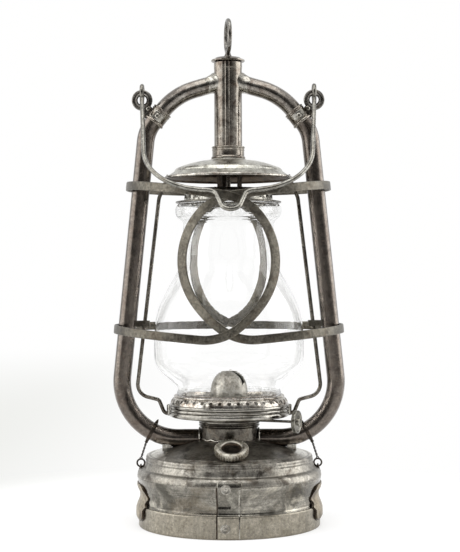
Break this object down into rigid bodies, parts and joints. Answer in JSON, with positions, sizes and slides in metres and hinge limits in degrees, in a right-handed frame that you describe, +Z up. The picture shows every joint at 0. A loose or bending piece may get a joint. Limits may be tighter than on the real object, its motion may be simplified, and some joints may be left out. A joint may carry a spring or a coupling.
{
  "type": "kerosene lantern",
  "caption": "Tubular kerosene lantern with a round fuel tank, side air tubes, strip guards, a lifting glass globe, a flat-wick burner and a swinging wire bail.",
  "frame": {"origin": "centre of the base, on the plane it stands on", "axes": "+Z up the lantern's axis, -Y to the front where the bail rests, +X towards the wick knob"},
  "size_m": [0.1596, 0.1439, 0.3483],
  "materials": {
    "tin_plate": "aged, mottled tin plate",
    "dark_tube": "dark, tarnished steel tube",
    "guard_steel": "satin olive-grey strip",
    "pale_plate": "pale, dull plated sheet",
    "wire_steel": "drawn steel wire, worn",
    "clear_glass": "clear blown glass",
    "cotton": "woven cotton",
    "seal_cork": "dark sealing ring"
  },
  "bodies": {
    "frame": {"tank_bottom": "tin_plate", "base_band": "pale_plate", "tank_wall": "tin_plate", "tank_top": "tin_plate", "seam_strap": "tin_plate", "seam_rivets": "wire_steel", "side_plate_left": "pale_plate", "side_plate_right": "pale_plate", "filler_neck": "tin_plate", "burner_chamber": "dark_tube", "side_tube_left": "dark_tube", "side_tube_right": "dark_tube", "arch_tube_left": "dark_tube", "arch_tube_right": "dark_tube", "arch_ferrules": "tin_plate", "tube_collar_left": "tin_plate", "tube_collar_right": "tin_plate", "bail_ear_left": "tin_plate", "bail_ear_right": "tin_plate", "collar_rivets": "wire_steel", "centre_tube": "tin_plate", "rod_guide": "tin_plate", "tube_saddles": "tin_plate", "guard_left": "guard_steel", "guard_right": "guard_steel", "guard_pads": "guard_steel", "wire_guide_left": "guard_steel", "wire_guide_right": "guard_steel", "tie_clip_left": "dark_tube", "tie_clip_right": "dark_tube", "tie_wire_left": "wire_steel", "tie_wire_right": "wire_steel", "tie_rings": "wire_steel", "tie_staples": "wire_steel", "burner_body": "dark_tube", "wick_tube": "tin_plate", "burner_dome": "tin_plate"},
    "globe_cage": {"lift_ring": "wire_steel", "cap_disc": "tin_plate", "lift_rod": "wire_steel", "lift_yoke": "tin_plate", "hood_sleeve": "pale_plate", "hood": "pale_plate", "crown_posts": "dark_tube", "globe_crown": "pale_plate", "globe_plate": "pale_plate", "globe": "clear_glass", "lift_wire_left": "wire_steel", "lift_wire_right": "wire_steel", "gallery_ring": "pale_plate", "gallery_plate": "pale_plate"},
    "bail": {"bail": "wire_steel"},
    "wick_drive": {"wick_knob": "pale_plate", "wick_shaft": "wire_steel", "wick_sprockets": "wire_steel"},
    "wick": {"wick": "cotton"},
    "cap_seal": {"cap_seal": "seal_cork"},
    "filler_cap": {"filler_cap": "pale_plate"}
  },
  "joints": [
    {"name": "globe_lift", "type": "slide", "parent": "frame", "child": "globe_cage", "axis": [0, 0, 1], "range_m": [0, 0.014]},
    {"name": "bail_swing", "type": "hinge", "parent": "frame", "child": "bail", "pos_m": [0, 0, 0.2972], "axis": [-1, 0, 0], "range_deg": [0, 270]},
    {"name": "knob_turn", "type": "hinge", "parent": "frame", "child": "wick_drive", "pos_m": [-0.00179, -0.00402, 0.0724], "axis": [0.9135, -0.4067, 0], "range_deg": [0, 150]},
    {"name": "wick_rise", "type": "slide", "parent": "frame", "child": "wick", "axis": [0, 0, 1], "range_m": [0, 0.00785]},
    {"name": "cap_lift", "type": "slide", "parent": "frame", "child": "cap_seal", "axis": [0, -0.4384, 0.8988], "range_m": [0, 0.003]},
    {"name": "cap_turn", "type": "hinge", "parent": "cap_seal", "child": "filler_cap", "pos_m": [0.0015, -0.0445, 0.0579], "axis": [0, -0.4384, 0.8988], "range_deg": [0, 720]}
  ],
  "couplings": [
    {"joint": "knob_turn", "follows": "wick_rise", "rad_per_m": 333.33},
    {"joint": "cap_turn", "follows": "cap_lift", "rad_per_m": 4188}
  ]
}
